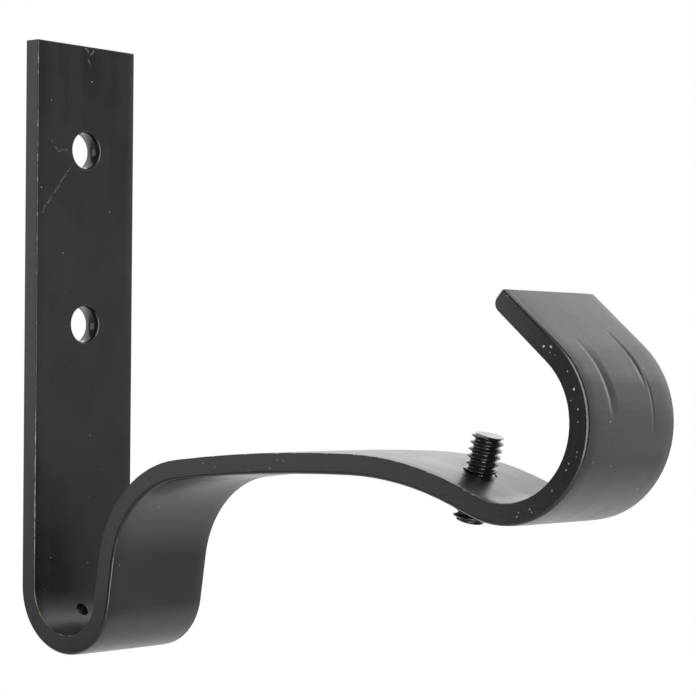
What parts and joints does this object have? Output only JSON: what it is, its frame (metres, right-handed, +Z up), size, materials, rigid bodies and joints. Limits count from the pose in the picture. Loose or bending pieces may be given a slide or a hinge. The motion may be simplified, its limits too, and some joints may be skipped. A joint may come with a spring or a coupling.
{
  "type": "wall bracket",
  "caption": "Open-hook wall bracket bent from flat steel bar, with a screw that grips the curtain pole.",
  "frame": {"origin": "on the wall face, at the middle of the bar's width, halfway between the two fixing holes", "axes": "+X out of the wall into the room, +Z up, +Y along the wall and along the pole"},
  "size_m": [0.1405, 0.028, 0.1265],
  "materials": {
    "bar_paint": "satin black paint, slightly uneven, with small chips, specks and bending-tool marks",
    "screw_black": "glossy black"
  },
  "bodies": {
    "bracket": {"bracket_strip": "bar_paint"},
    "screw": {"pole_screw": "screw_black"}
  },
  "joints": [
    {"name": "screw_travel", "type": "slide", "parent": "bracket", "child": "screw", "axis": [0.2583, 0, 0.9661], "range_m": [-0.0071, 0.0052]}
  ]
}
